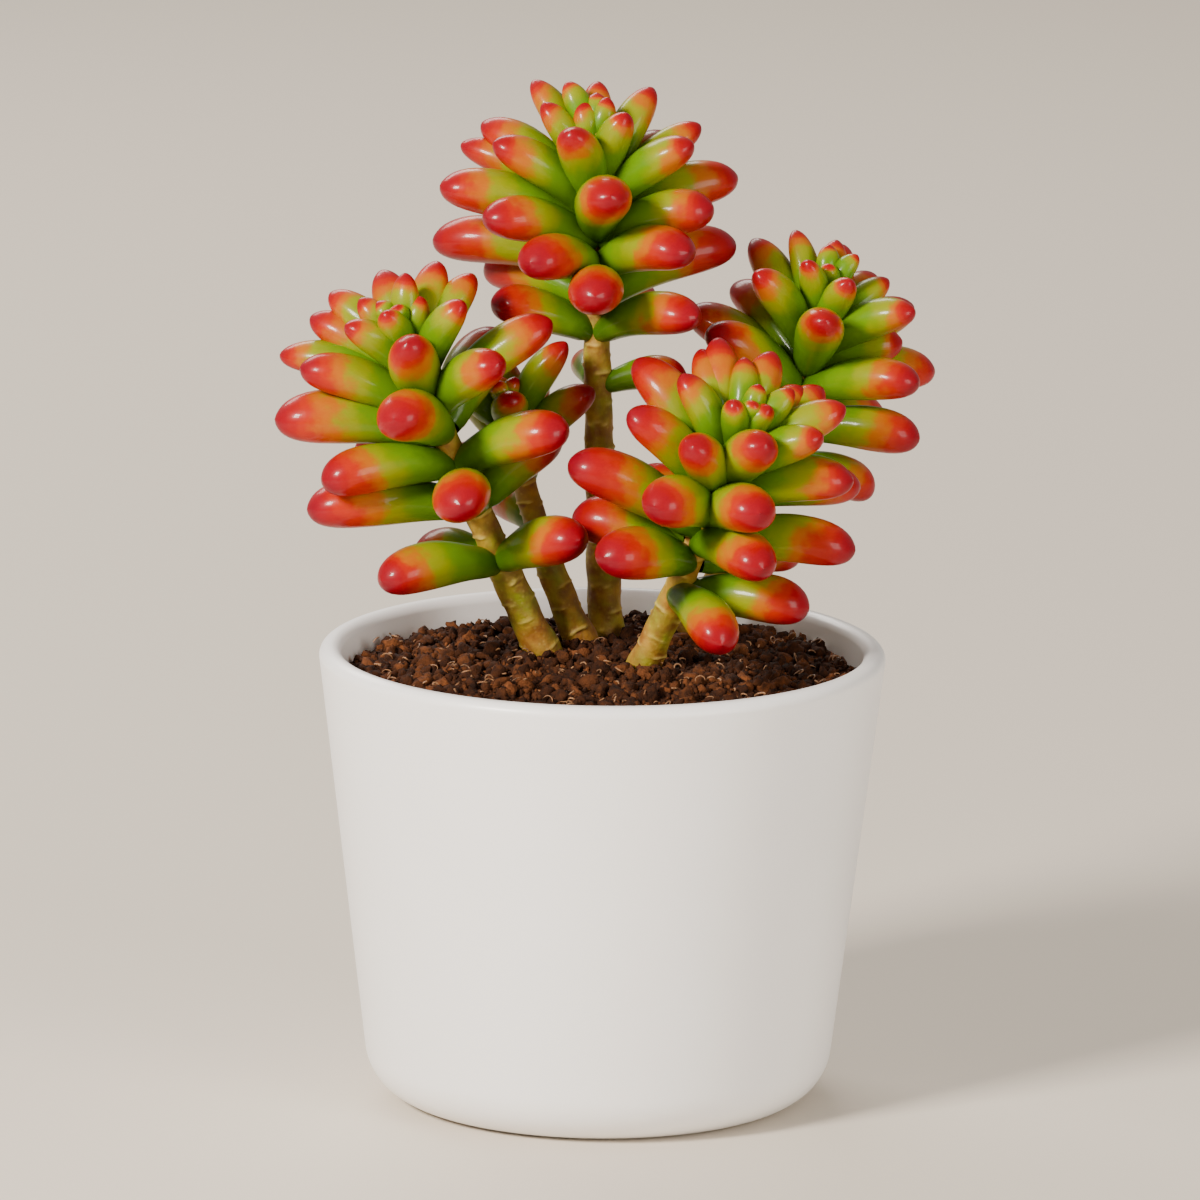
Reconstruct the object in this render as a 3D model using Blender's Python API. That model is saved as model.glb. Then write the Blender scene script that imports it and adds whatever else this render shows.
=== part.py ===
"""Jelly bean plant (a small succulent) growing in a plain white tapered pot.

Units are metres, +Z is up, the pot stands on z = 0 about the Z axis and the photographed side
looks along -Y. Five leafy shoots stand in plain holes in the soil, and each shoot is one body:
its stem with every leaf fused into it.
"""

from __future__ import annotations

import math
import random
from dataclasses import dataclass

import bmesh
import bpy
from mathutils import Vector

MM = 0.001

# Pot: a revolved tapered wall with a flat underside, a closed floor and a thin rounded rim
POT_HEIGHT = 73.2 * MM
POT_RIM_RADIUS = 45.0 * MM
POT_BASE_RADIUS = 36.2 * MM
POT_WALL = 3.6 * MM
POT_BASE_ROUND = 9.0 * MM
POT_LIP_ROUND = 1.7 * MM
POT_FLOOR = 6.0 * MM
POT_INNER_ROUND = 7.0 * MM
POT_CENTRE_RADIUS = 10.0 * MM
POT_SEGMENTS = 56

# Soil: fills the pot to a few millimetres below the rim, with a low crumbly mound
SOIL_LEVEL = 69.4 * MM
SOIL_MOUND = 1.5 * MM
SOIL_CRUMB = 0.5 * MM
SOIL_SEGMENTS = 48
SOIL_RINGS = 7
CLEARANCE = 0.3 * MM

# Stems: how deep they stand in the soil, and how smooth they are
ROOT_DEPTH = 9.0 * MM
STEM_SIDES = 12
STEM_STEPS = 14

# Leaves: clavate beans, widest at two thirds of their length, a little flattened
LEAF_SIDES = 8
LEAF_RINGS = ((0.0, 0.68), (0.26, 0.96), (0.62, 1.12), (0.90, 0.86))
LEAF_THICKNESS = 0.88
LEAF_BEND = 0.06
LEAF_SUNK = 0.9 * MM
LEAF_ROLL = 0.1


@dataclass(frozen=True)
class Tier:
    """Leaves that leave the stem at about the same level.

    down is the distance below the crown along the stem and girth the leaf width, both in mm.
    Each leaf is (bearing, rise, length): degrees about the stem from +X, degrees above the
    plane across the stem, and mm.
    """

    down: float
    girth: float
    leaves: tuple[tuple[float, float, float], ...]


@dataclass(frozen=True)
class Shoot:
    """One leafy shoot: its stem from the soil to the crown (mm), and its tiers of leaves.

    lean is the tilt of the crown in degrees, toward -Y and toward +X.
    """

    name: str
    soil: tuple[float, float, float]
    crown: tuple[float, float, float]
    lean: tuple[float, float]
    foot_radius: float
    neck_radius: float
    tiers: tuple[Tier, ...]


LEFT_SHOOT = Shoot(
    name="shoot_left",
    soil=(-9.8, 8.0, 71.0),
    crown=(-32.8, -5.0, 126.3),
    lean=(14.0, -20.0),
    foot_radius=2.9,
    neck_radius=1.7,
    tiers=(
        Tier(2.0, 3.6, ((150, 74, 6), (-60, 78, 5.5))),
        Tier(7.5, 4.7, ((155, 71, 13), (-99, 74, 12), (17, 69, 10.5), (50, 73, 14))),
        Tier(10.5, 5.7, ((42, 32, 18), (136, 49, 19.5), (-152, 64, 16), (-24, 47, 17))),
        Tier(12.5, 6.0, ((97, 55, 20), (60, 48, 20), (150, 44, 21), (165, 29, 23))),
        Tier(16.0, 7.2, ((-79, 58, 20), (5, 18, 22.5), (-42, 27, 21), (-174, 43, 21.5))),
        Tier(20.0, 8.5, ((-174, 28, 25.5), (-99, 35, 22), (55, 15, 20), (112, 20, 21))),
        Tier(26.0, 7.8, ((-29, 10, 22), (-149, 24, 22.5), (142, 5, 19))),
        Tier(33.5, 8.4, ((-166, 25, 25.5), (-85, 25, 22.5), (2, 24, 17))),
        Tier(44.3, 7.8, ((-136, 26, 22.5), (-46, 14, 22.5), (150, 8, 14))),
    ),
)

CENTRE_SHOOT = Shoot(
    name="shoot_centre",
    soil=(0.5, 22.0, 70.4),
    crown=(-2.3, 14.0, 153.9),
    lean=(4.0, -1.0),
    foot_radius=2.9,
    neck_radius=1.7,
    tiers=(
        Tier(2.5, 4.2, ((80, 76, 8), (140, 64, 10.5))),
        Tier(6.5, 4.7, ((29, 82, 11.5), (150, 83, 11))),
        Tier(9.0, 5.0, ((86, 62, 16.5), (139, 52, 19), (176, 62, 15))),
        Tier(11.0, 5.5, ((-43, 68, 16), (44, 52, 19.5))),
        Tier(13.0, 6.5, ((157, 34, 22), (-22, 38, 20), (-109, 57, 18.5), (-161, 39, 20))),
        Tier(14.0, 5.5, ((65, 44, 20), (113, 49, 20), (24, 36, 21.5), (161, 25, 23.5))),
        Tier(16.5, 8.0, ((44, 38, 20), (-172, 20, 25), (-82, 31, 21), (16, 17, 23.5))),
        Tier(18.0, 7.6, ((-143, 20, 21.5), (85, 24, 21), (128, 20, 21), (-20, 20, 20))),
        Tier(22.5, 7.8, ((167, 7, 25.5), (-48, 18, 22), (-117, 17, 22), (55, 10, 21))),
        Tier(27.5, 8.0, ((17, 17, 23), (-90, 17, 22.5), (105, 8, 21), (145, 5, 20))),
        Tier(33.0, 7.0, ((-165, 22, 17), (-44, 17, 22), (70, 0, 20))),
        Tier(42.0, 5.6, ((-8, 8, 13), (95, -5, 15))),
    ),
)

RIGHT_SHOOT = Shoot(
    name="shoot_right",
    soil=(14.0, 23.0, 70.8),
    crown=(35.3, 19.0, 128.3),
    lean=(5.0, 11.0),
    foot_radius=2.7,
    neck_radius=1.6,
    tiers=(
        Tier(2.0, 3.6, ((-110, 76, 6), (110, 72, 8), (20, 68, 8))),
        Tier(7.5, 4.5, ((90, 63, 14.5), (131, 53, 16), (-128, 60, 14))),
        Tier(9.5, 4.8, ((32, 48, 15), (-74, 61, 15))),
        Tier(11.5, 6.2, ((145, 41, 20), (84, 52, 19), (-146, 42, 19), (-31, 42, 19.5))),
        Tier(14.0, 6.8, ((-93, 40, 19.5), (62, 44, 20), (34, 36, 20), (132, 17, 20), (-6, 35, 15))),
        Tier(17.5, 7.2, ((19, 19, 21.5), (-37, 26, 21.5), (160, 14, 21), (-152, 20, 20), (85, 18, 20))),
        Tier(24.0, 7.2, ((-16, 17, 20.5), (45, 5, 20), (120, 6, 20), (175, 0, 17))),
        Tier(31.0, 6.8, ((-30, 8, 13), (80, 0, 18), (20, 0, 17), (145, 0, 16))),
    ),
)

FRONT_SHOOT = Shoot(
    name="shoot_front",
    soil=(6.8, -0.5, 70.8),
    crown=(22.7, -17.0, 114.9),
    lean=(20.0, 17.0),
    foot_radius=2.6,
    neck_radius=1.6,
    tiers=(
        Tier(2.5, 3.4, ((80, 72, 6.5), (-100, 78, 5.5))),
        Tier(7.0, 4.5, ((-139, 68, 10.5), (-36, 78, 10), (101, 48, 14), (30, 62, 12.5))),
        Tier(11.0, 5.8, ((121, 37, 19), (163, 47, 16.5), (79, 50, 19.5), (50, 46, 17))),
        Tier(12.5, 6.3, ((112, 44, 21.5), (10, 51, 21.5), (-24, 53, 18.5), (44, 42, 20.5))),
        Tier(14.5, 7.3, ((140, 24, 23.5), (-80, 58, 19))),
        Tier(16.5, 7.1, ((-173, 34, 21), (-127, 47, 20), (16, 14, 22.5), (92, 28, 20), (-12, 34, 21.5))),
        Tier(19.5, 8.2, ((-78, 37, 21), (-125, 23, 22), (60, 10, 19))),
        Tier(23.0, 8.2, ((-179, 13, 23.5),)),
        Tier(25.0, 7.8, ((-13, 23, 24), (-70, 27, 22), (125, 0, 16))),
        Tier(29.0, 8.4, ((-136, 14, 22), (158, -8, 19), (30, 5, 19))),
        Tier(35.3, 7.6, ((-77, 17, 22.5), (-19, 23, 20.5))),
    ),
)

BACK_SHOOT = Shoot(
    name="shoot_back",
    soil=(-3.6, 14.5, 71.0),
    crown=(-15.5, 11.0, 109.9),
    lean=(2.0, -10.0),
    foot_radius=2.7,
    neck_radius=1.5,
    tiers=(
        Tier(0.5, 3.4, ((-20, 74, 5), (120, 72, 5), (-130, 74, 5))),
        Tier(4.0, 5.4, ((0, 50, 16), (90, 50, 12), (150, 46, 11), (-80, 55, 8))),
        Tier(8.0, 6.2, ((-5, 31, 15.5), (118, 34, 16), (68, 34, 15))),
        Tier(13.0, 6.6, ((92, 16, 17), (130, 10, 17))),
        Tier(20.0, 6.2, ((110, 4, 16),)),
    ),
)

SHOOTS = (LEFT_SHOOT, CENTRE_SHOOT, RIGHT_SHOOT, FRONT_SHOOT, BACK_SHOOT)


def clear_scene() -> None:
    """Remove every object of the scene the script starts from."""
    for obj in list(bpy.data.objects):
        bpy.data.objects.remove(obj, do_unlink=True)


def principled(name: str, colour: tuple[float, float, float], roughness: float) -> bpy.types.Material:
    """A plain non-metal Principled material."""
    material = bpy.data.materials.new(name)
    material.use_nodes = True
    shader = material.node_tree.nodes["Principled BSDF"]
    shader.inputs["Base Color"].default_value = (*colour, 1.0)
    shader.inputs["Roughness"].default_value = roughness
    shader.inputs["Metallic"].default_value = 0.0
    return material


def mesh_object(name: str, bm: bmesh.types.BMesh, material: bpy.types.Material) -> bpy.types.Object:
    """Turn a bmesh into a named object with outward faces."""
    bmesh.ops.recalc_face_normals(bm, faces=bm.faces)
    mesh = bpy.data.meshes.new(name)
    bm.to_mesh(mesh)
    bm.free()
    mesh.materials.append(material)
    obj = bpy.data.objects.new(name, mesh)
    bpy.context.scene.collection.objects.link(obj)
    return obj


def arc(centre: tuple[float, float], radius: float, start: float, stop: float, steps: int):
    """Points of a round stretch in the (radius, height) plane, angles in degrees."""
    for i in range(steps + 1):
        angle = math.radians(start + (stop - start) * i / steps)
        yield centre[0] + radius * math.cos(angle), centre[1] + radius * math.sin(angle)


def wall_tangent_corner(radius_at_floor: float, taper: float, floor: float, rounding: float):
    """Centre of the fillet between a level floor and a wall that flares by taper radians."""
    reach = rounding * math.tan((math.pi / 2 - taper) / 2)
    return radius_at_floor - reach, floor + rounding


def pot_profile() -> list[tuple[float, float]]:
    """Section of the pot in (radius, height), from the underside out, up and back inside."""
    taper = math.atan2(POT_RIM_RADIUS - POT_BASE_RADIUS, POT_HEIGHT)
    tilt = math.degrees(taper)
    outer = wall_tangent_corner(POT_BASE_RADIUS, taper, 0.0, POT_BASE_ROUND)
    slope = math.tan(taper)
    inner_at_floor = POT_BASE_RADIUS - POT_WALL + POT_FLOOR * slope
    inner = wall_tangent_corner(inner_at_floor, taper, POT_FLOOR, POT_INNER_ROUND)
    lip = POT_LIP_ROUND
    points = [(POT_CENTRE_RADIUS, 0.0)]
    points += arc(outer, POT_BASE_ROUND, -90.0, -tilt, 6)
    outer_lip = (POT_RIM_RADIUS - lip, POT_HEIGHT - lip)
    points += arc(outer_lip, lip, -tilt, 90.0, 4)
    inner_lip = (POT_RIM_RADIUS - POT_WALL + lip, POT_HEIGHT - lip)
    points += arc(inner_lip, lip, 90.0, 180.0 - tilt, 4)
    points += arc(inner, POT_INNER_ROUND, -tilt, -90.0, 4)
    return points


def revolve(bm: bmesh.types.BMesh, profile: list[tuple[float, float]], segments: int) -> None:
    """Spin an open section about Z and close it on the axis at both ends."""
    rings = []
    for radius, height in profile:
        ring = []
        for i in range(segments):
            angle = 2 * math.pi * i / segments
            ring.append(bm.verts.new((radius * math.cos(angle), radius * math.sin(angle), height)))
        rings.append(ring)
    for lower, upper in zip(rings, rings[1:]):
        for i in range(segments):
            j = (i + 1) % segments
            bm.faces.new((lower[i], lower[j], upper[j], upper[i]))
    for ring in (rings[0], rings[-1]):
        bm.faces.new(ring)


def make_pot() -> bpy.types.Object:
    """The pot: one revolved body, open at the top, closed at the floor."""
    bm = bmesh.new()
    revolve(bm, pot_profile(), POT_SEGMENTS)
    return mesh_object("pot", bm, principled("pot_white", (0.82, 0.81, 0.79), 0.35))


def inner_wall_radius(height: float) -> float:
    """Radius of the pot's inner wall at a height above its rounded corner."""
    slope = (POT_RIM_RADIUS - POT_BASE_RADIUS) / POT_HEIGHT
    return POT_BASE_RADIUS - POT_WALL + height * slope


def soil_height(radius: float, angle: float, edge: float) -> float:
    """Level of the soil: a low mound with slow lumps."""
    share = radius / edge
    lumps = math.sin(3 * angle + 1.1) + 0.6 * math.sin(5 * angle - 9 * share)
    return SOIL_LEVEL + SOIL_MOUND * (1 - share * share) + SOIL_CRUMB * 0.6 * lumps * share * (1 - share)


def make_soil() -> bpy.types.Object:
    """The soil: a plug a hair smaller than the pot's inside, with a crumbly top."""
    draw = random.Random(11)
    bm = bmesh.new()
    bottom = POT_FLOOR + CLEARANCE
    corner = POT_INNER_ROUND
    edge = inner_wall_radius(SOIL_LEVEL) - CLEARANCE
    foot = inner_wall_radius(bottom + corner) - CLEARANCE - 0.1 * MM
    section = [
        (foot - corner, bottom),
        (foot - 0.32 * corner, bottom + 0.32 * corner),
        (foot, bottom + corner),
    ]
    rings = []
    for radius, height in section:
        rings.append([(radius, height)] * SOIL_SEGMENTS)
    for k in range(SOIL_RINGS):
        share = 1.0 - k / SOIL_RINGS
        ring = []
        for i in range(SOIL_SEGMENTS):
            height = soil_height(edge * share, 2 * math.pi * i / SOIL_SEGMENTS, edge)
            ring.append((edge * share, height + draw.uniform(-1, 1) * SOIL_CRUMB * (0.3 if k == 0 else 1)))
        rings.append(ring)
    verts = []
    for ring in rings:
        row = []
        for i, (radius, height) in enumerate(ring):
            angle = 2 * math.pi * i / SOIL_SEGMENTS
            row.append(bm.verts.new((radius * math.cos(angle), radius * math.sin(angle), height)))
        verts.append(row)
    for lower, upper in zip(verts, verts[1:]):
        for i in range(SOIL_SEGMENTS):
            j = (i + 1) % SOIL_SEGMENTS
            bm.faces.new((lower[i], lower[j], upper[j], upper[i]))
    bm.faces.new(verts[0])
    top = bm.verts.new((0.0, 0.0, SOIL_LEVEL + SOIL_MOUND))
    for i in range(SOIL_SEGMENTS):
        bm.faces.new((verts[-1][i], verts[-1][(i + 1) % SOIL_SEGMENTS], top))
    bmesh.ops.triangulate(bm, faces=bm.faces)
    return mesh_object("soil", bm, principled("soil_brown", (0.045, 0.028, 0.02), 0.95))


class StemCurve:
    """A quadratic curve from the soil to the crown, carried on into the soil below."""

    def __init__(self, shoot: Shoot) -> None:
        forward, side = (math.radians(a) for a in shoot.lean)
        self.foot = Vector(shoot.soil) * MM
        self.crown = Vector(shoot.crown) * MM
        axis = Vector((math.sin(side), -math.sin(forward) * math.cos(side), math.cos(forward) * math.cos(side)))
        self.knee = self.crown - axis * (self.crown - self.foot).length * 0.5
        self.steps = 80
        self.points = [self.point(i / self.steps) for i in range(self.steps + 1)]

    def point(self, t: float) -> Vector:
        """Point at parameter t, 0 at the soil and 1 at the crown."""
        return self.foot * (1 - t) ** 2 + self.knee * 2 * t * (1 - t) + self.crown * t * t

    def tangent(self, t: float) -> Vector:
        """Unit direction of growth at parameter t."""
        return ((self.knee - self.foot) * (1 - t) + (self.crown - self.knee) * t).normalized()

    def parameter(self, down: float) -> float:
        """Parameter of the point that lies down metres below the crown along the stem."""
        left = down
        for i in range(self.steps, 0, -1):
            span = (self.points[i] - self.points[i - 1]).length
            if left <= span:
                return (i - left / span) / self.steps
            left -= span
        return 0.0


def tube(bm: bmesh.types.BMesh, centres: list[Vector], radii: list[float], sides: int) -> None:
    """A closed round tube through centres, its rings kept level with one another."""
    rings = []
    for k, (centre, radius) in enumerate(zip(centres, radii)):
        ahead = centres[min(k + 1, len(centres) - 1)] - centres[max(k - 1, 0)]
        tangent = ahead.normalized()
        across = (Vector((1, 0, 0)) - tangent * tangent.x).normalized()
        other = tangent.cross(across)
        ring = []
        for i in range(sides):
            angle = 2 * math.pi * i / sides
            ring.append(bm.verts.new(centre + (across * math.cos(angle) + other * math.sin(angle)) * radius))
        rings.append(ring)
    for lower, upper in zip(rings, rings[1:]):
        for i in range(sides):
            j = (i + 1) % sides
            bm.faces.new((lower[i], lower[j], upper[j], upper[i]))
    bm.faces.new(rings[0])
    bm.faces.new(rings[-1])


def stem_tube(bm: bmesh.types.BMesh, shoot: Shoot, grow: float, rise: float) -> None:
    """The stem, or with grow above zero the hole it stands in, which stops rise above the soil."""
    curve = StemCurve(shoot)
    down = curve.tangent(0.0)
    foot, neck = (r * MM + grow for r in (shoot.foot_radius, shoot.neck_radius))
    centres = [curve.foot - down * (ROOT_DEPTH + grow), curve.foot - down * ROOT_DEPTH * 0.5]
    radii = [foot, foot]
    if rise > 0:
        centres += [curve.foot, curve.foot + down * rise]
        radii += [foot, foot]
    else:
        for k in range(STEM_STEPS + 1):
            t = k / STEM_STEPS
            centres.append(curve.point(t))
            radii.append(foot + (neck - foot) * t ** 0.8)
        centres.append(curve.crown + curve.tangent(1.0) * neck)
        radii.append(neck * 0.45)
    tube(bm, centres, radii, STEM_SIDES)


def leaf_bmesh(shoot: Shoot, curve: StemCurve, tier: Tier, leaf: tuple[float, float, float]) -> bmesh.types.BMesh:
    """One bean shaped leaf with its root sunk in the stem and its tip curving up."""
    bearing, rise, length = math.radians(leaf[0]), math.radians(leaf[1]), leaf[2] * MM
    t = curve.parameter(tier.down * MM)
    tangent = curve.tangent(t)
    across = (Vector((1, 0, 0)) - tangent * tangent.x).normalized()
    outward = across * math.cos(bearing) + tangent.cross(across) * math.sin(bearing)
    reach = outward * math.cos(rise) + tangent * math.sin(rise)
    side = tangent.cross(outward).normalized()
    above = reach.cross(side) * -1.0
    stem_radius = (shoot.foot_radius + (shoot.neck_radius - shoot.foot_radius) * t ** 0.8) * MM
    seat = curve.point(t) + outward * (stem_radius - LEAF_SUNK)
    half = tier.girth * MM / 2
    bm = bmesh.new()
    rings = []
    for along, swell in LEAF_RINGS:
        centre = seat + reach * length * along - above * LEAF_BEND * length * math.sin(math.pi * along)
        ring = []
        for i in range(LEAF_SIDES):
            angle = 2 * math.pi * (i + 0.5) / LEAF_SIDES + LEAF_ROLL * bearing
            offset = side * math.cos(angle) + above * math.sin(angle) * LEAF_THICKNESS
            ring.append(bm.verts.new(centre + offset * half * swell))
        rings.append(ring)
    tip = bm.verts.new(seat + reach * length)
    for lower, upper in zip(rings, rings[1:]):
        for i in range(LEAF_SIDES):
            j = (i + 1) % LEAF_SIDES
            bm.faces.new((lower[i], lower[j], upper[j], upper[i]))
    for i in range(LEAF_SIDES):
        bm.faces.new((rings[-1][i], rings[-1][(i + 1) % LEAF_SIDES], tip))
    bm.faces.new(rings[0])
    return bm


def apply_boolean(obj: bpy.types.Object, operands: bpy.types.Collection, operation: str) -> None:
    """Join obj with, or cut it by, every object of a collection, then remove those objects."""
    modifier = obj.modifiers.new(operation.lower(), "BOOLEAN")
    modifier.operation = operation
    modifier.solver = "EXACT"
    modifier.operand_type = "COLLECTION"
    modifier.collection = operands
    evaluated = obj.evaluated_get(bpy.context.evaluated_depsgraph_get())
    joined = bpy.data.meshes.new_from_object(evaluated)
    obj.modifiers.clear()
    obj.data = joined
    for other in list(operands.objects):
        bpy.data.objects.remove(other, do_unlink=True)
    bpy.data.collections.remove(operands)


def fill_pockets(mesh: bpy.types.Mesh) -> None:
    """Keep only the outer skin, so that gaps closed in between crowded leaves become solid."""
    bm = bmesh.new()
    bm.from_mesh(mesh)
    unseen = set(bm.verts)
    skins = []
    while unseen:
        skin, front = set(), [unseen.pop()]
        while front:
            vert = front.pop()
            skin.add(vert)
            near = {edge.other_vert(vert) for edge in vert.link_edges} & unseen
            unseen -= near
            front.extend(near)
        skins.append(skin)
    skins.sort(key=len)
    for skin in skins[:-1]:
        bmesh.ops.delete(bm, geom=list(skin), context="VERTS")
    bm.to_mesh(mesh)
    bm.free()


def gather(name: str, objects: list[bpy.types.Object]) -> bpy.types.Collection:
    """Move objects into a collection of their own."""
    group = bpy.data.collections.new(name)
    bpy.context.scene.collection.children.link(group)
    for obj in objects:
        bpy.context.scene.collection.objects.unlink(obj)
        group.objects.link(obj)
    return group


def make_shoot(shoot: Shoot) -> bpy.types.Object:
    """A stem with its leaves, fused into one body."""
    material = principled(shoot.name + "_green", (0.30, 0.42, 0.06), 0.35)
    bm = bmesh.new()
    stem_tube(bm, shoot, 0.0, 0.0)
    obj = mesh_object(shoot.name, bm, material)
    curve = StemCurve(shoot)
    leaves = []
    for tier in shoot.tiers:
        for leaf in tier.leaves:
            leaves.append(mesh_object("leaf", leaf_bmesh(shoot, curve, tier, leaf), material))
    apply_boolean(obj, gather(shoot.name + "_leaves", leaves), "UNION")
    fill_pockets(obj.data)
    return obj


def cut_stem_holes(soil: bpy.types.Object) -> None:
    """Sink a plain hole in the soil for each stem, a hair wider and deeper than its root."""
    cutters = []
    for shoot in SHOOTS:
        bm = bmesh.new()
        stem_tube(bm, shoot, CLEARANCE, 6 * MM)
        cutters.append(mesh_object("stem_hole", bm, soil.data.materials[0]))
    apply_boolean(soil, gather("stem_holes", cutters), "DIFFERENCE")


def main() -> None:
    """Build the pot, the soil and the five shoots."""
    clear_scene()
    make_pot()
    soil = make_soil()
    cut_stem_holes(soil)
    for shoot in SHOOTS:
        make_shoot(shoot)


main()
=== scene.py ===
"""A jelly bean plant in its white pot, dressed for the photograph's view.

Lengths are metres and +Z is up. The pot stands on z = 0, and the camera looks along +Y. The
shoots repeat the model's own plan of leaves, with the plan's lengths in millimetres.
"""

from __future__ import annotations

import logging
import math
import random
from collections.abc import Iterator
from dataclasses import dataclass, field
from enum import Enum
from functools import cache

import bmesh
import bpy
import numpy as np
from mathutils import Matrix, Vector, noise


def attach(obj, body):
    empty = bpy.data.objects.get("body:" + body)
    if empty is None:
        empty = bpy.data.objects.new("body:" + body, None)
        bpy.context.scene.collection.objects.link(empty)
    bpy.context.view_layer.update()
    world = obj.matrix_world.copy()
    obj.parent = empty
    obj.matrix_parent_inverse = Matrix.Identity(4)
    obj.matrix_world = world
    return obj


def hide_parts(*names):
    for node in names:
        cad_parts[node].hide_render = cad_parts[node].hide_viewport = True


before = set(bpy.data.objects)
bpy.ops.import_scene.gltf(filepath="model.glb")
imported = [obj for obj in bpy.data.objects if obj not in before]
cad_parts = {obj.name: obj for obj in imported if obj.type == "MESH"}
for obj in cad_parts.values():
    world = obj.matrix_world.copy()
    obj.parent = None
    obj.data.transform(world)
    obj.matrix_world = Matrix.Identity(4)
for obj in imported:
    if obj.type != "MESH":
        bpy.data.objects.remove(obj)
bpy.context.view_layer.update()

LOG = logging.getLogger("jelly_bean_plant")
MM = 0.001
FULL_TURN = 2 * math.pi
GOLDEN_ANGLE = math.radians(137.508)
# Upper end of a drawn angle, a little past a full turn
DRAWN_TURN = 6.3

Node = bpy.types.Node
Socket = bpy.types.NodeSocket
Material = bpy.types.Material
Pair = tuple[float, float]
Place = tuple[float, float, float]
Colour = tuple[float, float, float]
Leaf = tuple[float, float, float]
Stops = tuple[tuple[float, Colour], ...]
Value = float | Socket
Tint = Colour | Socket


class Slot(Enum):
    """The record's material slots."""

    POT = "pot_white"
    SOIL = "soil_brown"
    LEAFY = "leafy_green"


# Node helpers


class Graph:
    """Adds and links nodes in one node tree."""

    def __init__(self, tree: bpy.types.NodeTree) -> None:
        """Keep the shader tree or group that receives the nodes."""
        self.tree = tree

    def feed(self, value: Value | tuple, node: Node, name: str | int) -> None:
        """Set or link one input of a node.

        Args:
            value: A plain value, or the output socket that drives the input.
            node: The node with the input.
            name: The input's name or index.
        """
        if isinstance(value, Socket):
            self.tree.links.new(value, node.inputs[name])
        else:
            node.inputs[name].default_value = value

    def add(self, kind: str, inputs: dict | None = None, **settings: object) -> Node:
        """Add a node, set it up and feed its inputs.

        Args:
            kind: Blender's node type name.
            inputs: Input name or index to a plain value or to an output socket.
            settings: Attributes of the node.

        Returns:
            The new node.
        """
        node = self.tree.nodes.new(kind)
        for name, value in settings.items():
            setattr(node, name, value)
        for name, value in (inputs or {}).items():
            self.feed(value, node, name)
        return node

    def math(self, operation: str, a: Value, b: Value, clamp: bool = False) -> Socket:
        """Return the output of a Math node on a and b."""
        return self.add("ShaderNodeMath", {0: a, 1: b}, operation=operation, use_clamp=clamp).outputs[0]

    def times(self, a: Value, b: Value) -> Socket:
        """Return a times b."""
        return self.math("MULTIPLY", a, b)

    def plus(self, a: Value, b: Value, clamp: bool = False) -> Socket:
        """Return a plus b, kept from 0 to 1 if clamp is set."""
        return self.math("ADD", a, b, clamp)

    def fact(self, name: str) -> Socket:
        """Return a number that the mesh stores at each of its points."""
        return self.add("ShaderNodeAttribute", attribute_name=name).outputs["Fac"]

    def ramp(self, place: Value, stops: Stops) -> Socket:
        """Look a place up on a smooth ramp of colours.

        Args:
            place: Where on the ramp, from 0 to 1.
            stops: Places on the ramp with their linear colours.

        Returns:
            The colour there.
        """
        node = self.add("ShaderNodeValToRGB", {"Fac": place})
        node.color_ramp.interpolation = "EASE"
        elements = node.color_ramp.elements
        while len(elements) < len(stops):
            elements.new(0.5)
        for element, (position, colour) in zip(elements, stops):
            element.position = position
            element.color = (*colour, 1.0)
        return node.outputs["Color"]

    def mix(self, share: Value, a: Tint, b: Tint, blend: str = "MIX") -> Socket:
        """Mix two colours.

        Args:
            share: How much of the second colour, from 0 to 1.
            a: The first colour, linear or a socket.
            b: The second colour, linear or a socket.
            blend: Blender's name for the way they mix.

        Returns:
            The mixed colour.
        """
        node = self.add("ShaderNodeMix", {0: share}, data_type="RGBA", blend_type=blend)
        for index, colour in ((6, a), (7, b)):
            self.feed(colour if isinstance(colour, Socket) else (*colour, 1.0), node, index)
        return node.outputs[2]


MOTTLE_MASK_FROM = 0.32
MOTTLE_MASK_TO = 0.68


def new_group(name: str, takes: dict[str, float], gives: tuple[str, ...]) -> Graph:
    """Start a shader group whose inputs and outputs are all numbers.

    Args:
        name: The group's name.
        takes: Names of the inputs and their defaults.
        gives: Names of the outputs.

    Returns:
        A graph on the group's tree.
    """
    tree = bpy.data.node_groups.new(name, "ShaderNodeTree")
    for label, value in takes.items():
        socket = tree.interface.new_socket(label, in_out="INPUT", socket_type="NodeSocketFloat")
        socket.default_value = value
    for label in gives:
        tree.interface.new_socket(label, in_out="OUTPUT", socket_type="NodeSocketFloat")
    return Graph(tree)


@cache
def mottle_group() -> bpy.types.NodeTree:
    """Make soft cloudy unevenness over a surface, once for all finishes.

    Returns:
        The group, with a mask and a height.
    """
    graph = new_group("mottle", {"Scale": 300.0, "Detail": 3.0}, ("Mask", "Height"))
    entry, leave = graph.add("NodeGroupInput").outputs, graph.add("NodeGroupOutput")
    place = graph.add("ShaderNodeTexCoord").outputs["Object"]
    inputs = {"Vector": place, "Scale": entry["Scale"], "Detail": entry["Detail"]}
    cloud = graph.add("ShaderNodeTexNoise", inputs).outputs["Fac"]
    spread = {0: cloud, 1: MOTTLE_MASK_FROM, 2: MOTTLE_MASK_TO, 3: 0.0, 4: 1.0}
    graph.feed(graph.add("ShaderNodeMapRange", spread).outputs[0], leave, "Mask")
    graph.feed(cloud, leave, "Height")
    return graph.tree


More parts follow.
